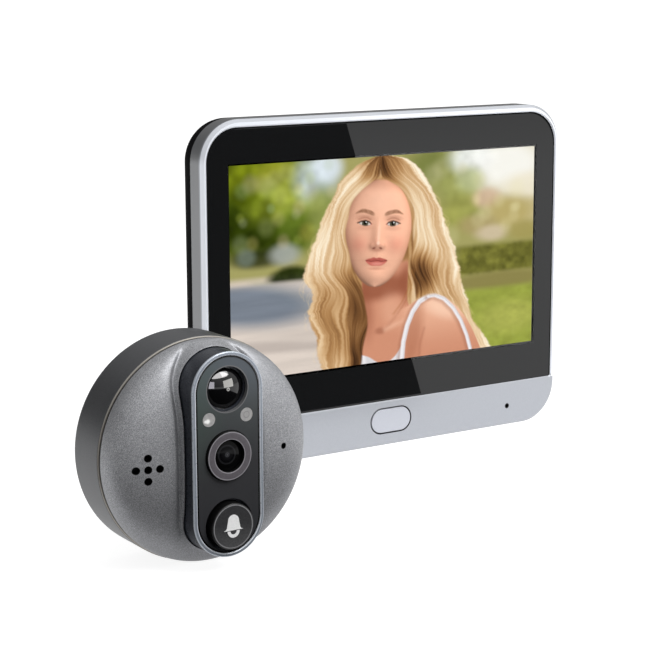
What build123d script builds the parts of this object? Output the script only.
from build123d import *
import math
import os

# An indoor door monitor and its round outdoor bell unit, in millimetres.
# The origin is the centre of the flat strip of the underside that the monitor stands on.
# +X is right, -Y is the front, +Z is up.
# The monitor stands on its underside, and the outdoor unit stands on its rim, in front and left.

# Monitor case
monitor_depth = 15.5
frame_side_depth = 6.6
corner_radius = 12.3
edge_chamfer = 0.9
side_wall = 1.6
front_plate = 2.2
rear_wall = 1.8
rear_edge_radius = 7.7
case_boss_radius = 2.5
case_post_radius = 3.2
case_screw_in_x = 8.1
case_screw_in_z = 5.5
case_boss_length = 5.2
case_head_floor = 1.6

# Cover glass and display
side_rim = 1.75
top_rim = 2.3
chin_height = 13.9
glass_gap = 0.06
glass_recess = 0.4
lip_chamfer = 0.35
glass_thickness = 0.7
glass_top_corner = 9.9
glass_bottom_corner = 0.8
adhesive_thickness = 0.2
adhesive_inset = 0.6
picture_width = 110.7
picture_height = 62.3
picture_above_glass_bottom = 12.15
picture_below_glass_top = 10.75
picture_side_margin = 7.5
lcd_side_border = 3.9
lcd_top_border = 3.4
lcd_bottom_border = 5.2
lcd_thickness = 1.1
lcd_gap = 0.3
backlight_thickness = 2.0

# Display ribbon
flex_width = 26.0
flex_thickness = 0.2
flex_bend_radius = 1.6
flex_drop = 1.6
flex_overlap = 3.0
connector_width = 32.0
connector_height = 4.0

# Home button and its board
home_width = 14.4
home_height = 7.3
home_height_above_floor = 7.7
button_gap = 0.3
home_proud = 0.15
home_edge_round = 0.3
home_flange = 1.5
flange_thickness = 0.8
flange_play = 0.1
home_stub_radius = 2.0
home_stub_length = 0.6
home_travel = 0.35
switch_play = 0.05
switch_size = 6.0
home_switch_body = 1.6
switch_knob_radius = 1.7
switch_knob_length = 0.5
button_board_height = 9.0
button_board_thickness = 1.0
button_board_past_home = 18.0
button_board_past_mic = 3.9
button_board_boss_radius = 2.2
boss_left_of_home = 15.0
boss_left_of_mic = 15.1

# Indoor microphone
mic_in_from_side = 19.5
mic_height_above_floor = 6.2
mic_hole_radius = 0.6
mic_radius = 2.0
mic_thickness = 1.5
mic_boot_wall = 0.8

# Main board
board_side_gap = 12.6
board_low_z = 39.0
board_top_gap = 6.4
board_thickness = 1.0
board_depth = 6.8
board_corner = 2.0
board_boss_radius = 2.5
board_screw_inset = 4.0
tongue_side_gap = 5.1
tongue_below_card = 8.5
tongue_above_power = 5.5
shield_width = 30.0
shield_height = 16.0
shield_thickness = 2.0
shield_x = -8.0
shield_below_board_top = 11.0
wifi_width = 13.0
wifi_height = 13.0
wifi_thickness = 1.8
wifi_x = 19.5
part_corner = 0.8

# Ports at the right side
port_overhang = 2.8
port_hole_gap = 0.3
port_cut_margin = 1.0
usb_width = 9.0
usb_thickness = 3.2
usb_depth = 7.4
usb_z = 68.5
usb_wall = 0.4
usb_tongue = 0.7
usb_tongue_setback = 1.6
usb_tongue_side_gap = 1.0
card_width = 14.0
card_thickness = 1.9
card_depth = 14.5
card_z = 54.5
card_mouth_width = 11.4
card_mouth_thickness = 1.0
card_mouth_depth = 10.0

# Power switch at the right side
power_z = 80.5
power_body_length = 9.0
power_body_depth = 3.5
power_body_width = 4.8
power_travel = 2.0
power_slot_depth = 1.2
power_knob_length = 3.0
power_knob_thickness = 1.5
power_base_extra = 1.6
power_play = 0.2
power_knob_inset = 0.05

# Battery and loudspeaker
battery_width = 66.0
battery_height = 27.0
battery_thickness = 4.6
battery_side_gap = 5.8
battery_z = 23.2
battery_corner = 2.5
pad_thickness = 0.2
pad_inset = 4.0
speaker_radius = 13.0
speaker_frame_thickness = 2.0
speaker_magnet_radius = 8.0
speaker_magnet_thickness = 2.4
speaker_side_gap = 13.8
speaker_z = 23.0
speaker_gasket_thickness = 0.5
speaker_gasket_width = 2.0
grille_hole_radius = 0.8
grille_pitch = 2.8
grille_rings = 3

# Ribbon socket well
socket_width = 20.0
socket_height = 6.0
socket_thickness = 3.0
socket_z = 62.0
socket_slot_height = 1.2
socket_slot_depth = 2.2
well_width = 24.0
well_height = 12.0
well_wall = 1.2
well_board_gap = 0.3

# Door bracket
bracket_width = 92.0
bracket_height = 64.0
bracket_thickness = 1.2
bracket_gap = 0.3
bracket_corner = 5.0
bracket_window_width = 34.0
bracket_window_height = 22.0
bracket_screw_spacing_x = 82.0
bracket_screw_spacing_z = 52.0
bracket_screw_radius = 2.1
bracket_pad_width = 64.0
bracket_pad_height = 5.0
bracket_pad_thickness = 1.0
hook_x = 34.0
hook_width = 8.0
low_hook_below_socket = 12.0
high_hook_above_socket = 20.0
hook_rise = 4.0
hook_gap = 0.3
hook_seat_gap = 0.1
unhook_travel = 5.0

# Screws
screw_radius = 0.95
screw_head_radius = 1.9
screw_head_height = 1.3
screw_slot_radius = 0.7
screw_slot_depth = 0.6
screw_hole_gap = 0.05
screw_pass_gap = 0.2
screw_bite = 4.0
screw_hole_floor = 0.5

# Outdoor unit case
outdoor_x = -102.6
outdoor_seam_y = -70.25
outdoor_radius = 27.8
outdoor_rim_depth = 13.2
outdoor_wall = 2.0
outdoor_back = 2.2
seam_chamfer = 0.3
back_edge_round = 1.2
seal_thickness = 0.5
seal_inset = 0.3
dome_radius = 27.5
dome_height = 9.5
dome_fullness = 2.8
dome_points = 12
cover_wall = 1.8
spigot_depth = 2.5
spigot_root = 2.5
spigot_wall = 1.3
spigot_gap = 0.3

# Outdoor island
island_half_width = 9.55
island_half_length = 25.0
island_above_axis = 1.3
island_front = 13.5
trim_width = 1.0
trim_round = 0.3
trim_step = 0.1
panel_gap = 0.1
panel_drop = 0.2
panel_thickness = 1.1
panel_film = 0.2
plate_thickness = 1.5
island_wall = 1.0
island_back = 4.0
island_gap = 0.1
ledge_inset = 2.0
skirt_top = 7.0
skirt_gap = 0.35
skirt_draft = 14.0
skirt_tube_wall = 1.5

# Island fittings, as heights above the island's centre
pir_up = 15.95
pir_hole_radius = 5.5
pir_radius = 4.75
pir_rim = 0.25
pir_cap_height = 1.7
pir_flange = 0.5
pir_flange_thickness = 0.5
pir_can_radius = 4.5
pir_can_height = 3.2
pir_slot_width = 3.0
pir_slot_height = 4.0
pir_slot_depth = 0.3
window_x = 5.1
window_up = 9.2
window_radius = 1.65
window_gap = 0.05
led_radius = 1.5
led_height = 4.4
led_crown = 1.4
light_sensor_size = 3.0
light_sensor_height = 1.5
camera_up = -0.1
camera_hole_radius = 6.0
camera_ring_bore = 3.95
camera_ring_proud = 0.8
camera_ring_round = 0.15
camera_barrel_radius = 4.1
camera_barrel_bore = 3.4
camera_barrel_gap = 0.1
camera_glass_thickness = 1.0
camera_glass_crown = 0.8
camera_glass_inset = 0.2
camera_board_size = 13.4
camera_board_thickness = 1.0
camera_board_front = 2.5
image_sensor_size = 4.4
image_sensor_thickness = 0.8
bell_up = -17.1
bell_hole_radius = 6.45
bell_radius = 5.65
bell_gap = 0.2
bell_proud = 1.9
bell_edge_round = 0.35
bell_flange = 0.6
bell_flange_thickness = 1.2
bell_travel = 0.6
bell_switch_body = 1.7
symbol_thickness = 0.12
symbol_top = 2.95
symbol_base = -0.85
symbol_half_base = 2.6
symbol_half_waist = 1.75
symbol_waist_up = 1.1
symbol_flare_x = 0.5
symbol_flare_up = 0.35
symbol_dome_radius = 1.5
clapper_gap = 0.2
clapper_outer = 1.65
clapper_inner = 0.85
sensor_board_thickness = 1.0
sensor_board_gap = 0.25
standoff_radius = 1.2
standoff_wall_gap = 0.2
standoff_above_middle = 0.6

# Outdoor sound parts
cross_x = -18.9
cross_z = -0.6
cross_pitch = 2.8
cross_hole_radius = 0.92
outdoor_speaker_x = -17.4
outdoor_speaker_radius = 5.8
outdoor_speaker_front = 3.2
outdoor_speaker_frame = 3.2
outdoor_magnet_radius = 4.0
speaker_bowl_depth = 0.8
chimney_outer_radius = 4.4
chimney_inner_radius = 3.9
outdoor_mic_x = 18.1
outdoor_mic_hole_radius = 0.75
outdoor_mic_boot_radius = 3.0
outdoor_mic_boot_back = 3.4
sound_fit = 0.1

# Outdoor board, barrel and back
outdoor_board_radius = 23.0
outdoor_board_y = 3.0
outdoor_board_thickness = 1.2
outdoor_board_seat = 0.1
outdoor_post_radius = 2.5
outdoor_board_post_x = 8.0
outdoor_board_post_z = 18.0
cover_post_radius = 2.5
cover_post_inset = 0.2
cover_post_x = 17.2
cover_post_z = 12.0
post_notch_gap = 0.5
barrel_radius = 7.0
barrel_bore_radius = 4.5
barrel_length = 25.0
barrel_collar_radius = 7.4
barrel_flange_radius = 9.0
barrel_flange_thickness = 1.2
barrel_hole_gap = 0.05
outdoor_socket_width = 8.4
outdoor_socket_height = 4.0
outdoor_socket_thickness = 3.5
outdoor_socket_floor = 1.0
clamp_hole_x = 19.0
clamp_hole_radius = 1.65
clamp_boss_radius = 3.5
clamp_boss_length = 4.0
back_gasket_radius = 26.0
back_gasket_bore_gap = 0.6
back_gasket_thickness = 1.0
gasket_hole_gap = 0.8

# Places worked out from the sizes
monitor_width = picture_width + 2 * (picture_side_margin + side_rim)
glass_height = picture_above_glass_bottom + picture_height + picture_below_glass_top
monitor_height = chin_height + glass_height + top_rim
flat_strip = monitor_depth - rear_edge_radius - edge_chamfer
front_y = -edge_chamfer - flat_strip / 2
rear_y = front_y + monitor_depth
frame_back_y = front_y + frame_side_depth
glass_width = monitor_width - 2 * side_rim
glass_centre_z = chin_height + glass_height / 2
glass_front_y = front_y + glass_recess
glass_back_y = glass_front_y + glass_thickness
ledge_y = glass_back_y + adhesive_thickness
plate_back_y = front_y + front_plate
lcd_back_y = ledge_y + lcd_thickness
backlight_back_y = lcd_back_y + backlight_thickness
picture_centre_z = chin_height + picture_above_glass_bottom + picture_height / 2
lcd_width = picture_width + 2 * lcd_side_border
lcd_bottom_z = picture_centre_z - picture_height / 2 - lcd_bottom_border
lcd_top_z = picture_centre_z + picture_height / 2 + lcd_top_border
lcd_height = lcd_top_z - lcd_bottom_z
lcd_centre_z = (lcd_top_z + lcd_bottom_z) / 2
inner_rear_y = rear_y - rear_wall
boss_end_y = plate_back_y + case_boss_length
case_screw_x = monitor_width / 2 - case_screw_in_x
case_screw_places = [
    (side * case_screw_x, z)
    for side in (-1, 1)
    for z in (case_screw_in_z, monitor_height - case_screw_in_z)
]

home_z = home_height_above_floor
mic_x = monitor_width / 2 - mic_in_from_side
button_board_left = -button_board_past_home
button_board_right = mic_x + button_board_past_mic
button_board_boss_xs = (-boss_left_of_home, mic_x - boss_left_of_mic)
home_flange_front_y = plate_back_y + flange_play
home_flange_back_y = home_flange_front_y + flange_thickness
home_stub_end_y = home_flange_back_y + home_stub_length
home_knob_y = home_stub_end_y + home_travel + switch_play
home_switch_front_y = home_knob_y + switch_knob_length
button_board_y = home_switch_front_y + home_switch_body

board_width = monitor_width - 2 * board_side_gap
board_top_z = monitor_height - board_top_gap
board_height = board_top_z - board_low_z
board_centre_height = (board_top_z + board_low_z) / 2
shield_z = board_top_z - shield_below_board_top
board_y = front_y + board_depth
board_back_y = board_y + board_thickness
board_screw_places = [
    (side * (board_width / 2 - board_screw_inset), board_centre_height + up)
    for side in (-1, 1)
    for up in (
        board_screw_inset - board_height / 2,
        board_height / 2 - board_screw_inset,
    )
]
tongue_right = monitor_width / 2 - tongue_side_gap
tongue_low = card_z - tongue_below_card
tongue_high = power_z + tongue_above_power
inner_side_x = monitor_width / 2 - rear_wall
battery_x = battery_side_gap + battery_width / 2 - inner_side_x
speaker_x = inner_side_x - speaker_side_gap - speaker_radius
hook_tops = (socket_z - low_hook_below_socket, socket_z + high_hook_above_socket)
port_end_x = tongue_right + port_overhang
connector_z = board_centre_height - board_height / 2 + connector_height
flex_front_y = plate_back_y + flex_thickness
flex_back_y = flex_front_y + 2 * flex_bend_radius
speaker_back_y = inner_rear_y - speaker_gasket_thickness
battery_back_y = inner_rear_y - pad_thickness
socket_back_y = board_back_y + socket_thickness
bracket_y = rear_y + bracket_gap
bracket_back_y = bracket_y + bracket_thickness
hook_back_y = inner_rear_y - hook_gap
hook_front_y = hook_back_y - bracket_thickness

island_z = island_above_axis
trim_back = island_front - panel_drop - panel_thickness - panel_film
panel_front = island_front - panel_drop
panel_back = panel_front - panel_thickness
plate_back = trim_back - plate_thickness
bell_front = panel_front + bell_proud
bell_flange_front = plate_back - flange_play
bell_flange_back = bell_flange_front - bell_flange_thickness
bell_knob_front = bell_flange_back - bell_travel - switch_play
bell_switch_front = bell_knob_front - switch_knob_length
sensor_board_front = bell_switch_front - bell_switch_body
sensor_board_back = sensor_board_front - sensor_board_thickness
standoff_up = (camera_up + bell_up) / 2 + standoff_above_middle
standoff_reach = trim_step + island_wall + standoff_wall_gap + standoff_radius
standoff_places = [
    (island_half_width - standoff_reach, standoff_up),
    (standoff_reach - island_half_width, standoff_up),
    (0, island_half_length - standoff_reach),
]
cavity_radius = outdoor_radius - outdoor_wall
cavity_back_y = outdoor_rim_depth - outdoor_back
outdoor_board_back_y = outdoor_board_y + outdoor_board_thickness
signs = [(a, b) for a in (-1, 1) for b in (-1, 1)]
outdoor_board_posts = [(a * outdoor_board_post_x, b * outdoor_board_post_z) for a, b in signs]
cover_posts = [(a * cover_post_x, b * cover_post_z) for a, b in signs]


def slab(outline, front, back):
    """A solid from a front-view outline, X right and Z up, between two places along Y."""
    plane = Plane((0, front, 0), x_dir=(1, 0, 0), z_dir=(0, -1, 0))
    return extrude(plane * outline, amount=back - front, dir=(0, 1, 0))


def disc(radius, x, z, front, back):
    return slab(Pos(x, z) * Circle(radius), front, back)


def block(width, height, x, z, front, back):
    return slab(Pos(x, z) * Rectangle(width, height), front, back)


def soft_block(width, height, corner, x, z, front, back):
    return slab(Pos(x, z) * RectangleRounded(width, height, corner), front, back)


def racetrack(width, height, grow=0.0):
    """An outline with two round ends, larger all round by grow."""
    long_side = max(width, height) + 2 * grow
    short_side = min(width, height) + 2 * grow
    return SlotOverall(long_side, short_side, rotation=90 if height > width else 0)


def edges_at(shape, y):
    """The edges of a shape that lie in one plane across Y."""
    return shape.edges().filter_by_position(Axis.Y, y - 0.001, y + 0.001)


def group(shapes):
    """Separate solids kept together as one node."""
    return Compound([solid for shape in shapes for solid in shape.solids()])


def screw(x, z, seat_y, direction, bite):
    """A cheese-head screw: its head's underside is at seat_y and it points along direction."""
    head = disc(screw_head_radius, x, z, 0, screw_head_height)
    head -= disc(screw_slot_radius, x, z, 0, screw_slot_depth)
    shank = disc(screw_radius, x, z, screw_head_height, screw_head_height + bite)
    whole = Pos(0, -screw_head_height, 0) * (head + shank)
    if direction < 0:
        whole = mirror(whole, Plane.XZ)
    return Pos(0, seat_y, 0) * whole


def monitor_outline(inset=0.0):
    width = monitor_width - 2 * inset
    height = monitor_height - 2 * inset
    return Pos(0, monitor_height / 2) * RectangleRounded(width, height, corner_radius - inset)


def glass_outline(grow=0.0):
    """The cover glass: wide corner arcs at the top, nearly square corners at the bottom."""
    sheet = Pos(0, glass_centre_z) * Rectangle(glass_width + 2 * grow, glass_height + 2 * grow)
    sheet = fillet(sheet.vertices().sort_by(Axis.Y)[2:], glass_top_corner + grow)
    return fillet(sheet.vertices().sort_by(Axis.Y)[:2], glass_bottom_corner + grow)


def lcd_outline(grow=0.0):
    return Pos(0, lcd_centre_z) * Rectangle(lcd_width + 2 * grow, lcd_height + 2 * grow)


def home_outline(grow=0.0):
    return Pos(0, home_z) * racetrack(home_width, home_height, grow)


def make_front_frame():
    """Silver frame: chamfered rim, glass seat, chin with a button hole, and screw bosses."""
    body = slab(monitor_outline(), front_y, frame_back_y)
    body = chamfer(edges_at(body, front_y), edge_chamfer)
    body -= slab(monitor_outline(side_wall), plate_back_y, frame_back_y)
    land_edges = edges_at(body, front_y)
    body -= slab(glass_outline(glass_gap), front_y, ledge_y)
    lip_edges = [
        edge
        for edge in edges_at(body, front_y)
        if not any((edge.center() - old.center()).length < 0.01 for old in land_edges)
    ]
    body = chamfer(lip_edges, lip_chamfer)
    body -= slab(lcd_outline(lcd_gap), ledge_y, plate_back_y)
    body -= slab(home_outline(button_gap), front_y, plate_back_y)
    body -= disc(mic_hole_radius, mic_x, mic_height_above_floor, front_y, plate_back_y)
    hole = screw_radius + screw_hole_gap
    for x, z in case_screw_places:
        body += disc(case_boss_radius, x, z, plate_back_y, boss_end_y)
        body -= disc(hole, x, z, plate_back_y + screw_hole_floor, boss_end_y)
    for x in button_board_boss_xs:
        body += disc(button_board_boss_radius, x, home_z, plate_back_y, button_board_y)
        body -= disc(hole, x, home_z, plate_back_y + screw_hole_floor, button_board_y)
    return body


def rear_shell_solid(inset, back):
    """The rear shell's outer form, or its hollow when inset by the wall."""
    body = slab(monitor_outline(inset), frame_back_y, back)
    return fillet(edges_at(body, back), rear_edge_radius - inset)


def grille_places():
    """Rings of holes over the loudspeaker, six more in each ring."""
    places = [(speaker_x, speaker_z)]
    for ring in range(1, grille_rings + 1):
        for step in range(6 * ring):
            angle = 2 * math.pi * step / (6 * ring)
            radius = ring * grille_pitch
            places.append(
                (speaker_x + radius * math.cos(angle), speaker_z + radius * math.sin(angle))
            )
    return places


def port_cut(length, thickness, z, centre_y):
    """A hole through the right-hand wall, as seen from the side."""
    low_x = inner_side_x - 2 * rear_wall
    high_x = monitor_width / 2 + port_cut_margin
    return Pos((low_x + high_x) / 2, centre_y, z) * Box(high_x - low_x, thickness, length)


def make_rear_cover():
    """Black shell: round edges, screw posts, hook slots, socket well, grille and port holes."""
    outer = rear_shell_solid(0.0, rear_y)
    cover = outer - rear_shell_solid(rear_wall, inner_rear_y)
    for x, z in case_screw_places:
        cover += disc(case_post_radius, x, z, boss_end_y, rear_y) & outer
    for x, z in board_screw_places:
        cover += disc(board_boss_radius, x, z, board_back_y, rear_y) & outer
    cover += block(
        well_width + 2 * well_wall,
        well_height + 2 * well_wall,
        0,
        socket_z,
        board_back_y + well_board_gap,
        inner_rear_y,
    )
    cover -= block(well_width, well_height, 0, socket_z, board_back_y, rear_y)
    head_floor_y = boss_end_y + case_head_floor
    for x, z in case_screw_places:
        cover -= disc(screw_head_radius + screw_pass_gap, x, z, head_floor_y, rear_y)
        cover -= disc(screw_radius + screw_pass_gap, x, z, boss_end_y, head_floor_y)
    for x, z in board_screw_places:
        hole = screw_radius + screw_hole_gap
        cover -= disc(hole, x, z, board_back_y, board_back_y + screw_bite)
    slot_height = bracket_thickness + unhook_travel + 2 * hook_gap
    for top in hook_tops:
        for side in (-1, 1):
            slot_z = top + hook_seat_gap - slot_height / 2
            slot_width = hook_width + 2 * hook_gap
            cover -= block(slot_width, slot_height, side * hook_x, slot_z, hook_back_y, rear_y)
    for x, z in grille_places():
        cover -= disc(grille_hole_radius, x, z, inner_rear_y, rear_y)
    gap = 2 * port_hole_gap
    cover -= port_cut(usb_width + gap, usb_thickness + gap, usb_z, board_back_y + usb_thickness / 2)
    card_y = board_back_y + card_thickness / 2
    cover -= port_cut(card_width + gap, card_thickness + gap, card_z, card_y)
    knob_gap = power_knob_thickness + gap
    knob_y = board_back_y + power_body_depth / 2
    cover -= port_cut(power_knob_length + power_travel + gap, knob_gap, power_z, knob_y)
    return cover


def make_glass_adhesive():
    inner = lcd_outline(lcd_gap)
    outline = glass_outline(-adhesive_inset) - inner
    return slab(outline, glass_back_y, ledge_y)


def make_display_flex():
    """Flat ribbon: down from the panel, round behind the backlight and up to its connector."""
    turn_z = lcd_bottom_z - flex_drop
    top_z = connector_z + flex_overlap / 2
    outer = flex_bend_radius + flex_thickness / 2
    inner = flex_bend_radius - flex_thickness / 2
    bend = Circle(outer) - Circle(inner)
    bend &= Pos(0, -outer) * Rectangle(2 * outer, 2 * outer)
    centre_y = flex_front_y + flex_bend_radius
    side_plane = Plane((-flex_width / 2, centre_y, turn_z), x_dir=(0, 1, 0), z_dir=(1, 0, 0))
    ribbon = extrude(side_plane * bend, amount=flex_width, dir=(1, 0, 0))
    for y, end_z in ((flex_front_y, lcd_bottom_z), (flex_back_y, top_z)):
        height = end_z - turn_z
        strip = Box(flex_width, flex_thickness, height)
        ribbon += Pos(0, y, turn_z + height / 2) * strip
    return ribbon


def make_flex_connector():
    front = flex_back_y + flex_thickness / 2
    return block(connector_width, connector_height, 0, connector_z, front, board_y)


def make_home_button():
    cap = slab(home_outline(), front_y - home_proud, home_flange_front_y)
    cap = fillet(edges_at(cap, front_y - home_proud), home_edge_round)
    cap += slab(home_outline(home_flange), home_flange_front_y, home_flange_back_y)
    cap += disc(home_stub_radius, 0, home_z, home_flange_back_y, home_stub_end_y)
    return cap


def make_switch(x, z, knob_y, body_y, back_y):
    """A square push switch with a round knob towards the button."""
    body = block(switch_size, switch_size, x, z, body_y, back_y)
    return body + disc(switch_knob_radius, x, z, knob_y, body_y)


def make_button_board():
    board = block(
        button_board_right - button_board_left,
        button_board_height,
        (button_board_left + button_board_right) / 2,
        home_z,
        button_board_y,
        button_board_y + button_board_thickness,
    )
    for x in button_board_boss_xs:
        radius = screw_radius + screw_pass_gap
        board -= disc(radius, x, home_z, button_board_y, button_board_y + button_board_thickness)
    return board


def make_indoor_microphone():
    z = mic_height_above_floor
    return disc(mic_radius, mic_x, z, button_board_y - mic_thickness, button_board_y)


def make_microphone_boot():
    z = mic_height_above_floor
    back = button_board_y - mic_thickness
    boot = disc(mic_radius + mic_boot_wall, mic_x, z, plate_back_y, back)
    return boot - disc(mic_hole_radius, mic_x, z, plate_back_y, back)


def make_main_board():
    board = Pos(0, board_centre_height) * RectangleRounded(board_width, board_height, board_corner)
    tongue_left = board_width / 2 - 2 * board_corner
    tongue = Rectangle(tongue_right - tongue_left, tongue_high - tongue_low)
    board += Pos((tongue_left + tongue_right) / 2, (tongue_low + tongue_high) / 2) * tongue
    for x, z in board_screw_places:
        board -= Pos(x, z) * Circle(screw_radius + screw_pass_gap)
    return slab(board, board_y, board_back_y)


def make_processor_shield():
    y = board_back_y
    can = soft_block(
        shield_width, shield_height, part_corner, shield_x, shield_z, y, y + shield_thickness
    )
    return fillet(edges_at(can, y + shield_thickness), part_corner / 2)


def make_wifi_module():
    back = board_back_y + wifi_thickness
    return soft_block(wifi_width, wifi_height, part_corner, wifi_x, shield_z, board_back_y, back)


def make_indoor_ribbon_socket():
    body = block(socket_width, socket_height, 0, socket_z, board_back_y, socket_back_y)
    slot_width = socket_width - 2 * well_wall
    slot_front = socket_back_y - socket_slot_depth
    return body - block(slot_width, socket_slot_height, 0, socket_z, slot_front, socket_back_y)


def make_usb_port():
    """A metal shell with its mouth at the right and a contact tongue inside."""
    y = board_back_y + usb_thickness / 2
    mouth = Plane((port_end_x, y, usb_z), x_dir=(0, 0, 1), z_dir=(1, 0, 0))
    outline = racetrack(usb_width, usb_thickness)
    shell = extrude(mouth * outline, amount=usb_depth, dir=(-1, 0, 0))
    inner_width = usb_width - 2 * usb_wall
    inner_thickness = usb_thickness - 2 * usb_wall
    hollow = racetrack(inner_width, inner_thickness)
    shell -= extrude(mouth * hollow, amount=usb_depth - usb_wall, dir=(-1, 0, 0))
    tongue_length = usb_depth - usb_tongue_setback
    tongue_x = port_end_x - usb_depth + tongue_length / 2
    tongue = Box(tongue_length, usb_tongue, inner_width - 2 * usb_tongue_side_gap)
    return shell + Pos(tongue_x, y, usb_z) * tongue


def make_card_slot():
    y = board_back_y + card_thickness / 2
    x = port_end_x - card_depth / 2
    body = Pos(x, y, card_z) * Box(card_depth, card_thickness, card_width)
    mouth_x = port_end_x - card_mouth_depth / 2
    mouth = Box(card_mouth_depth, card_mouth_thickness, card_mouth_width)
    return body - Pos(mouth_x, y, card_z) * mouth


def make_power_switch_body():
    y = board_back_y + power_body_depth / 2
    x = tongue_right - power_body_width / 2
    body = Pos(x, y, power_z) * Box(power_body_width, power_body_depth, power_body_length)
    base = power_knob_length + power_base_extra + power_travel
    slot_x = tongue_right - power_slot_depth / 2
    slot = Box(power_slot_depth, power_knob_thickness + power_play, base + power_play)
    return body - Pos(slot_x, y, power_z) * slot


def make_power_switch_slider():
    """The slider at its lower end, with a base held in the switch and a knob outside."""
    y = board_back_y + power_body_depth / 2
    z = power_z - power_travel / 2
    base_depth = power_slot_depth - power_play
    base_x = tongue_right - base_depth / 2
    base = Box(base_depth, power_knob_thickness, power_knob_length + power_base_extra)
    knob_end = monitor_width / 2 - power_knob_inset
    knob_x = (tongue_right + knob_end) / 2
    knob = Box(knob_end - tongue_right, power_knob_thickness, power_knob_length)
    return Pos(base_x, y, z) * base + Pos(knob_x, y, z) * knob


def make_battery():
    front = battery_back_y - battery_thickness
    cell = soft_block(
        battery_width, battery_height, battery_corner, battery_x, battery_z, front, battery_back_y
    )
    return fillet(edges_at(cell, front), battery_corner / 4)


def make_battery_pad():
    width = battery_width - 2 * pad_inset
    height = battery_height - 2 * pad_inset
    return block(width, height, battery_x, battery_z, battery_back_y, inner_rear_y)


def make_indoor_speaker():
    magnet_y = speaker_back_y - speaker_frame_thickness
    magnet_front = magnet_y - speaker_magnet_thickness
    frame = disc(speaker_radius, speaker_x, speaker_z, magnet_y, speaker_back_y)
    bowl = disc(
        speaker_radius - speaker_gasket_width,
        speaker_x,
        speaker_z,
        speaker_back_y - speaker_bowl_depth,
        speaker_back_y,
    )
    magnet = disc(speaker_magnet_radius, speaker_x, speaker_z, magnet_front, magnet_y)
    return frame - bowl + magnet


def make_speaker_gasket():
    inner = speaker_radius - speaker_gasket_width
    ring = disc(speaker_radius, speaker_x, speaker_z, speaker_back_y, inner_rear_y)
    return ring - disc(inner, speaker_x, speaker_z, speaker_back_y, inner_rear_y)


def make_board_screws():
    """Four screws through the main board and two through the button board."""
    seat = button_board_y + button_board_thickness
    main = [screw(x, z, board_y, 1, screw_bite) for x, z in board_screw_places]
    return group(main + [screw(x, home_z, seat, -1, screw_bite) for x in button_board_boss_xs])


def make_case_screws():
    seat = boss_end_y + case_head_floor
    return group([screw(x, z, seat, -1, screw_bite) for x, z in case_screw_places])


def make_door_bracket():
    """Steel plate with four hooks, a ribbon window and four door screw holes."""
    plate = RectangleRounded(bracket_width, bracket_height, bracket_corner)
    plate -= RectangleRounded(bracket_window_width, bracket_window_height, bracket_corner)
    for a, b in signs:
        x = a * bracket_screw_spacing_x / 2
        z = b * bracket_screw_spacing_z / 2
        plate -= Pos(x, z) * Circle(bracket_screw_radius)
    bracket = slab(Pos(0, socket_z) * plate, bracket_y, bracket_back_y)
    for top in hook_tops:
        for side in (-1, 1):
            x = side * hook_x
            arm_z = top - bracket_thickness / 2
            window_height = hook_rise + bracket_thickness
            window_z = top + window_height / 2
            bracket -= block(hook_width, window_height, x, window_z, bracket_y, bracket_back_y)
            bracket += block(hook_width, bracket_thickness, x, arm_z, hook_front_y, bracket_y)
            finger_height = hook_rise + bracket_thickness
            finger_z = top + hook_rise - finger_height / 2
            bracket += block(hook_width, finger_height, x, finger_z, hook_front_y, hook_back_y)
    return bracket


def make_bracket_pads():
    """Two foam strips on the door side of the plate, above and below its window."""
    up = (bracket_window_height + bracket_height) / 4 + bracket_pad_height
    back = bracket_back_y + bracket_pad_thickness
    strips = []
    for side in (-1, 1):
        z = socket_z + side * up
        corner = bracket_pad_height / 4
        size = (bracket_pad_width, bracket_pad_height, corner)
        strips.append(soft_block(*size, 0, z, bracket_back_y, back))
    return group(strips)


def island_outline(grow=0.0):
    """The island's racetrack, in the outdoor unit's own frame."""
    track = racetrack(2 * island_half_width, 2 * island_half_length, grow)
    return Pos(0, island_z) * track


def ahead(outline, near, far):
    """A solid between two heights in front of the seam plane, near the seam first."""
    return slab(outline, -far, -near)


def ahead_disc(radius, x, z, near, far):
    return ahead(Pos(x, z) * Circle(radius), near, far)


def ahead_block(width, height, x, z, near, far):
    return ahead(Pos(x, z) * Rectangle(width, height), near, far)


def dome_solid(inset):
    """A dome with full shoulders in front of the seal, smaller all round by inset."""
    radius = dome_radius - inset
    height = dome_height - inset
    plane = Plane((0, -seal_thickness, 0), x_dir=(1, 0, 0), z_dir=(0, 0, 1))
    points = []
    for step in range(dome_points + 1):
        angle = math.pi / 2 * step / dome_points
        across = radius * math.sin(angle) ** (2 / dome_fullness)
        points.append((across, -height * abs(math.cos(angle)) ** (2 / dome_fullness)))
    points[-1] = (radius, 0)
    curve = Spline(*points, tangents=[(1, 0), (0, 1)])
    outline = make_face([curve, Line((radius, 0), (0, 0)), Line((0, 0), (0, -height))])
    return revolve(plane * outline, Axis((0, 0, 0), (0, 1, 0)))


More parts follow.
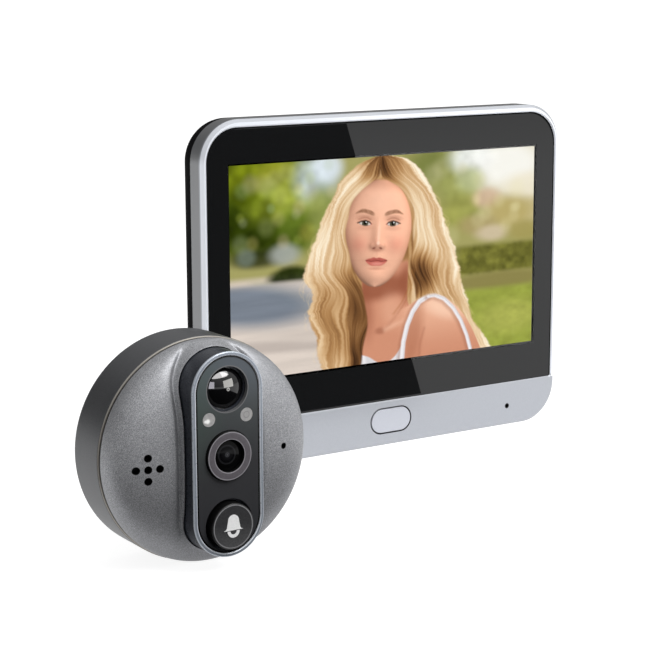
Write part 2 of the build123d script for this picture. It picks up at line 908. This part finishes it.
def make_front_cover():
    """Domed cover: shell, a drafted skirt up to the island, posts, spigot and sound holes."""
    depth = skirt_top - seal_thickness
    skirt_plane = Plane((0, -skirt_top, 0), x_dir=(1, 0, 0), z_dir=(0, -1, 0))
    top_face = skirt_plane * island_outline(skirt_gap)
    skirt = extrude(top_face, amount=-depth, taper=-skirt_draft)
    skirt &= ahead_disc(dome_radius, 0, 0, seal_thickness, skirt_top)
    outer = dome_solid(0.0) + skirt
    tube = ahead(island_outline(skirt_tube_wall), 0, island_front)
    cover = outer - (dome_solid(cover_wall) - tube)
    spigot_outer = cavity_radius - spigot_gap
    spigot_back = spigot_depth - seal_thickness
    spigot_front = -seal_thickness - spigot_root
    spigot = disc(spigot_outer, 0, 0, spigot_front, spigot_back)
    spigot -= disc(spigot_outer - spigot_wall, 0, 0, spigot_front, spigot_back)
    cover += spigot
    posts = [
        disc(cover_post_radius, x, z, -seal_thickness, cavity_back_y) for x, z in cover_posts
    ]
    for (x, z), post in zip(cover_posts, posts):
        stem = disc(cover_post_radius, x, z, -dome_height, -seal_thickness) & dome_solid(cover_post_inset)
        cover += post + stem
    for x, z in cover_posts:
        hole = screw_radius + screw_hole_gap
        cover -= disc(hole, x, z, cavity_back_y - screw_bite, cavity_back_y)
    cover -= ahead(island_outline(island_gap), island_back, island_front)
    cover -= ahead(island_outline(island_gap - ledge_inset), -spigot_back, island_back)
    for x, z in cross_places():
        cover -= ahead_disc(cross_hole_radius, x, z, seal_thickness, dome_height)
    cover -= ahead_disc(outdoor_mic_hole_radius, outdoor_mic_x, 0, seal_thickness, dome_height)
    return cover


def cross_places():
    """A centre hole with one on each side, above and below."""
    steps = [(0, 0), (1, 0), (-1, 0), (0, 1), (0, -1)]
    return [(cross_x + a * cross_pitch, cross_z + b * cross_pitch) for a, b in steps]


def make_outdoor_housing():
    """Dark cup: rim, back wall, board posts, clamp bosses and the barrel's hole."""
    body = disc(outdoor_radius, 0, 0, 0, outdoor_rim_depth)
    body = chamfer(edges_at(body, 0), seam_chamfer)
    body = fillet(edges_at(body, outdoor_rim_depth), back_edge_round)
    body -= disc(cavity_radius, 0, 0, 0, cavity_back_y)
    for x, z in outdoor_board_posts:
        body += disc(outdoor_post_radius, x, z, outdoor_board_back_y, cavity_back_y)
        hole = screw_radius + screw_hole_gap
        body -= disc(hole, x, z, outdoor_board_back_y, outdoor_board_back_y + screw_bite)
    for side in (-1, 1):
        x = side * clamp_hole_x
        start = cavity_back_y - clamp_boss_length
        body += disc(clamp_boss_radius, x, 0, start, cavity_back_y)
        body -= disc(clamp_hole_radius, x, 0, start, outdoor_rim_depth)
    hole_radius = barrel_collar_radius + barrel_hole_gap
    body -= disc(hole_radius, 0, 0, cavity_back_y, outdoor_rim_depth)
    head_floor = outdoor_rim_depth - screw_head_height - screw_pass_gap
    for x, z in cover_posts:
        body -= disc(screw_radius + screw_pass_gap, x, z, cavity_back_y, outdoor_rim_depth)
        radius = screw_head_radius + screw_pass_gap
        body -= disc(radius, x, z, head_floor, outdoor_rim_depth)
    return body


def make_housing_seal():
    outer = dome_radius - seal_inset
    seal = disc(outer, 0, 0, -seal_thickness, 0)
    return seal - disc(cavity_radius - spigot_gap + sound_fit, 0, 0, -seal_thickness, 0)


def make_island_housing():
    """Dark racetrack cup, open at the back, with a plate behind the panel and standoffs."""
    body = ahead(island_outline(-trim_step), island_back, trim_back)
    body -= ahead(island_outline(-trim_step - island_wall), island_back, plate_back)
    for x, up in standoff_places:
        body += ahead_disc(standoff_radius, x, island_z + up, sensor_board_front, plate_back)
    holes = [
        (pir_radius + pir_rim, 0, pir_up),
        (camera_barrel_radius + camera_barrel_gap, 0, camera_up),
        (bell_radius + bell_gap, 0, bell_up),
        (window_radius, window_x, window_up),
        (window_radius, -window_x, window_up),
    ]
    for radius, x, up in holes:
        body -= ahead_disc(radius, x, island_z + up, plate_back, trim_back)
    return body


def make_island_trim():
    ring = ahead(island_outline(), trim_back, island_front)
    ring -= ahead(island_outline(-trim_width), trim_back, island_front)
    return fillet(edges_at(ring, -island_front), trim_round)


def panel_holes():
    """Radius, X and height of each hole through the panel."""
    return [
        (pir_hole_radius, 0, pir_up),
        (camera_hole_radius, 0, camera_up),
        (bell_hole_radius, 0, bell_up),
        (window_radius + window_gap, window_x, window_up),
        (window_radius + window_gap, -window_x, window_up),
    ]


def make_panel_layer(inset, near, far):
    layer = island_outline(-trim_width - inset)
    for radius, x, up in panel_holes():
        layer -= Pos(x, island_z + up) * Circle(radius)
    return ahead(layer, near, far)


def crowned_disc(radius, x, z, near, far, crown):
    """A round piece with a spherical front that rises by crown."""
    curve_radius = (radius * radius + crown * crown) / (2 * crown)
    half_angle = math.asin(radius / curve_radius) / 2
    middle_rise = crown - curve_radius * (1 - math.cos(half_angle))
    middle = (curve_radius * math.sin(half_angle), -(far + middle_rise))
    tip = (0, -(far + crown))
    lines = [
        Line((0, -near), (radius, -near)),
        Line((radius, -near), (radius, -far)),
        ThreePointArc((radius, -far), middle, tip),
        Line(tip, (0, -near)),
    ]
    plane = Plane((x, 0, z), x_dir=(1, 0, 0), z_dir=(0, 0, 1))
    return revolve(plane * make_face(lines), Axis((x, 0, z), (0, 1, 0)))


def make_pir_lens():
    z = island_z + pir_up
    lens = crowned_disc(pir_radius, 0, z, plate_back, trim_back, pir_cap_height)
    flange_back = plate_back - pir_flange_thickness
    return lens + ahead_disc(pir_radius + pir_flange, 0, z, flange_back, plate_back)


def make_window(x):
    return ahead_disc(window_radius, x, island_z + window_up, trim_back, panel_front)


def make_ir_led():
    z = island_z + window_up
    base = sensor_board_front
    top = base + led_height
    return crowned_disc(led_radius, -window_x, z, base, top - led_crown, led_crown)


def make_light_sensor():
    top = sensor_board_front + light_sensor_height
    size = light_sensor_size
    return ahead_block(size, size, window_x, island_z + window_up, sensor_board_front, top)


def make_pir_sensor():
    z = island_z + pir_up
    top = sensor_board_front + pir_can_height
    can = ahead_disc(pir_can_radius, 0, z, sensor_board_front, top)
    return can - ahead_block(pir_slot_width, pir_slot_height, 0, z, top - pir_slot_depth, top)


def make_camera_bezel_ring():
    """A flat ring round the lens that stands a little proud of the panel."""
    z = island_z + camera_up
    outer = camera_hole_radius - window_gap
    front = panel_front + camera_ring_proud
    ring = ahead_disc(outer, 0, z, trim_back, front)
    ring -= ahead_disc(camera_ring_bore, 0, z, trim_back, front)
    return fillet(edges_at(ring, -front), camera_ring_round)


def make_camera_lens_glass():
    z = island_z + camera_up
    far = trim_back + camera_glass_thickness
    radius = camera_barrel_radius - camera_glass_inset
    return crowned_disc(radius, 0, z, trim_back, far, camera_glass_crown)


def make_camera_barrel():
    z = island_z + camera_up
    tube = ahead_disc(camera_barrel_radius, 0, z, camera_board_front, trim_back)
    return tube - ahead_disc(camera_barrel_bore, 0, z, camera_board_front, trim_back)


def make_camera_sensor_board():
    size = camera_board_size
    back = camera_board_front - camera_board_thickness
    return ahead_block(size, size, 0, island_z + camera_up, back, camera_board_front)


def make_image_sensor():
    size = image_sensor_size
    top = camera_board_front + image_sensor_thickness
    return ahead_block(size, size, 0, island_z + camera_up, camera_board_front, top)


def make_sensor_board():
    grow = -trim_step - island_wall - sensor_board_gap
    board = island_outline(grow)
    hole = camera_barrel_radius + sensor_board_gap
    board -= Pos(0, island_z + camera_up) * Circle(hole)
    return ahead(board, sensor_board_back, sensor_board_front)


def make_bell_button():
    z = island_z + bell_up
    cap = ahead_disc(bell_radius, 0, z, bell_flange_front, bell_front)
    cap = fillet(edges_at(cap, -bell_front), bell_edge_round)
    flange = ahead_disc(
        bell_radius + bell_flange, 0, z, bell_flange_back, bell_flange_front
    )
    return cap + flange


def make_bell_symbol():
    """A plain bell in outline, with a half-ring clapper below its open end."""
    waist_z = symbol_base + symbol_waist_up
    shoulder_z = symbol_top - symbol_dome_radius
    flare = (symbol_half_waist + symbol_flare_x / 2, symbol_base + symbol_flare_up)
    lines = [Line((-symbol_half_base, symbol_base), (symbol_half_base, symbol_base))]
    for side in (-1, 1):
        base = (side * symbol_half_base, symbol_base)
        waist = (side * symbol_half_waist, waist_z)
        shoulder = (side * symbol_dome_radius, shoulder_z)
        lines.append(ThreePointArc(base, (side * flare[0], flare[1]), waist))
        lines.append(Line(waist, shoulder))
    left = (-symbol_dome_radius, shoulder_z)
    lines.append(ThreePointArc(left, (0, symbol_top), (symbol_dome_radius, shoulder_z)))
    clapper_z = symbol_base - clapper_gap
    below = Pos(0, clapper_z - clapper_outer) * Rectangle(4 * clapper_outer, 2 * clapper_outer)
    half_ring = Pos(0, clapper_z) * (Circle(clapper_outer) - Circle(clapper_inner)) & below
    shapes = [make_face(lines), half_ring]
    z = island_z + bell_up
    front = bell_front + symbol_thickness
    return group([ahead(Pos(0, z) * shape, bell_front, front) for shape in shapes])


def make_bell_button_switch():
    z = island_z + bell_up
    body = ahead_block(switch_size, switch_size, 0, z, sensor_board_front, bell_switch_front)
    return body + ahead_disc(switch_knob_radius, 0, z, bell_switch_front, bell_knob_front)


def make_outdoor_speaker():
    front = -outdoor_speaker_front
    frame_back = front + outdoor_speaker_frame
    magnet_back = outdoor_board_y - outdoor_board_seat
    x = outdoor_speaker_x
    frame = disc(outdoor_speaker_radius, x, cross_z, front, frame_back)
    bowl = disc(chimney_inner_radius, cross_x, cross_z, front, front + speaker_bowl_depth)
    magnet = disc(outdoor_magnet_radius, x, cross_z, frame_back, magnet_back)
    return frame - bowl + magnet


def make_outdoor_speaker_gasket():
    """A soft chimney from the loudspeaker to the inside of the dome."""
    tube = ahead_disc(
        chimney_outer_radius, cross_x, cross_z, outdoor_speaker_front, dome_height
    )
    tube -= ahead_disc(
        chimney_inner_radius, cross_x, cross_z, outdoor_speaker_front, dome_height
    )
    return tube & dome_solid(cover_wall + sound_fit)


def make_outdoor_microphone():
    back = outdoor_mic_boot_back
    return ahead_disc(mic_radius, outdoor_mic_x, 0, back, back + mic_thickness)


def make_outdoor_microphone_boot():
    back = outdoor_mic_boot_back
    boot = ahead_disc(outdoor_mic_boot_radius, outdoor_mic_x, 0, back, dome_height)
    boot &= dome_solid(cover_wall + sound_fit)
    boot -= ahead_disc(mic_radius, outdoor_mic_x, 0, back, back + mic_thickness)
    return boot - ahead_disc(outdoor_mic_hole_radius, outdoor_mic_x, 0, back, dome_height)


def make_outdoor_board():
    board = Circle(outdoor_board_radius)
    for x, z in outdoor_board_posts:
        board -= Pos(x, z) * Circle(screw_radius + screw_pass_gap)
    for x, z in cover_posts:
        board -= Pos(x, z) * Circle(cover_post_radius + post_notch_gap)
    return slab(board, outdoor_board_y, outdoor_board_back_y)


def make_outdoor_screws():
    """Four screws through the board and four through the back into the cover's posts."""
    seat = outdoor_rim_depth - screw_head_height - screw_pass_gap
    board = [screw(x, z, outdoor_board_y, 1, screw_bite) for x, z in outdoor_board_posts]
    return group(board + [screw(x, z, seat, -1, screw_bite) for x, z in cover_posts])


def make_outdoor_ribbon_socket():
    front = outdoor_board_back_y
    back = front + outdoor_socket_thickness
    body = block(outdoor_socket_width, outdoor_socket_height, 0, 0, front, back)
    slot_width = outdoor_socket_width - 2 * usb_wall
    return body - block(slot_width, socket_slot_height, 0, 0, front + outdoor_socket_floor, back)


def make_mount_barrel():
    """Hollow barrel for the door hole: a flange inside the back wall and a collar through it."""
    flange_front = cavity_back_y - barrel_flange_thickness
    collar_end = outdoor_rim_depth + back_gasket_thickness
    end = outdoor_rim_depth + barrel_length
    barrel = disc(barrel_flange_radius, 0, 0, flange_front, cavity_back_y)
    barrel += disc(barrel_collar_radius, 0, 0, cavity_back_y, collar_end)
    barrel += disc(barrel_radius, 0, 0, collar_end, end)
    return barrel - disc(barrel_bore_radius, 0, 0, flange_front, end)


def make_back_gasket():
    front = outdoor_rim_depth
    ring = Circle(back_gasket_radius) - Circle(barrel_collar_radius + back_gasket_bore_gap)
    for side in (-1, 1):
        ring -= Pos(side * clamp_hole_x, 0) * Circle(clamp_hole_radius + gasket_hole_gap)
    return slab(ring, front, front + back_gasket_thickness)


monitor_pieces = {
    "monitor_front_frame": make_front_frame(),
    "monitor_rear_cover": make_rear_cover(),
    "cover_glass": slab(glass_outline(), glass_front_y, glass_back_y),
    "glass_adhesive": make_glass_adhesive(),
    "lcd_panel": slab(lcd_outline(), ledge_y, lcd_back_y),
    "backlight_unit": slab(lcd_outline(), lcd_back_y, backlight_back_y),
    "display_flex": make_display_flex(),
    "flex_connector": make_flex_connector(),
    "home_button": make_home_button(),
    "home_button_switch": make_switch(
        0, home_z, home_knob_y, home_switch_front_y, button_board_y
    ),
    "button_board": make_button_board(),
    "indoor_microphone": make_indoor_microphone(),
    "microphone_boot": make_microphone_boot(),
    "main_board": make_main_board(),
    "board_screws": make_board_screws(),
    "processor_shield": make_processor_shield(),
    "wifi_module": make_wifi_module(),
    "indoor_ribbon_socket": make_indoor_ribbon_socket(),
    "usb_port": make_usb_port(),
    "card_slot": make_card_slot(),
    "power_switch_body": make_power_switch_body(),
    "power_switch_slider": make_power_switch_slider(),
    "battery": make_battery(),
    "battery_pad": make_battery_pad(),
    "indoor_speaker": make_indoor_speaker(),
    "speaker_gasket": make_speaker_gasket(),
    "case_screws": make_case_screws(),
    "door_bracket": make_door_bracket(),
    "bracket_pads": make_bracket_pads(),
}

outdoor_pieces = {
    "outdoor_housing": make_outdoor_housing(),
    "outdoor_front_cover": make_front_cover(),
    "housing_seal": make_housing_seal(),
    "island_housing": make_island_housing(),
    "island_trim": make_island_trim(),
    "panel_adhesive": make_panel_layer(2 * panel_gap, trim_back, panel_back),
    "lens_panel": make_panel_layer(panel_gap, panel_back, panel_front),
    "pir_lens": make_pir_lens(),
    "pir_sensor": make_pir_sensor(),
    "ir_led_window": make_window(-window_x),
    "light_sensor_window": make_window(window_x),
    "ir_led": make_ir_led(),
    "light_sensor": make_light_sensor(),
    "camera_bezel_ring": make_camera_bezel_ring(),
    "camera_lens_glass": make_camera_lens_glass(),
    "camera_barrel": make_camera_barrel(),
    "image_sensor": make_image_sensor(),
    "camera_sensor_board": make_camera_sensor_board(),
    "sensor_board": make_sensor_board(),
    "bell_button": make_bell_button(),
    "bell_symbol": make_bell_symbol(),
    "bell_button_switch": make_bell_button_switch(),
    "outdoor_speaker": make_outdoor_speaker(),
    "outdoor_speaker_gasket": make_outdoor_speaker_gasket(),
    "outdoor_microphone": make_outdoor_microphone(),
    "outdoor_microphone_boot": make_outdoor_microphone_boot(),
    "outdoor_board": make_outdoor_board(),
    "outdoor_screws": make_outdoor_screws(),
    "outdoor_ribbon_socket": make_outdoor_ribbon_socket(),
    "mount_barrel": make_mount_barrel(),
    "outdoor_back_gasket": make_back_gasket(),
}

os.makedirs("parts", exist_ok=True)
for name, shape in monitor_pieces.items():
    export_step(shape, f"parts/{name}.step")
outdoor_place = Pos(outdoor_x, outdoor_seam_y, outdoor_radius)
for name, shape in outdoor_pieces.items():
    export_step(outdoor_place * shape, f"parts/{name}.step")
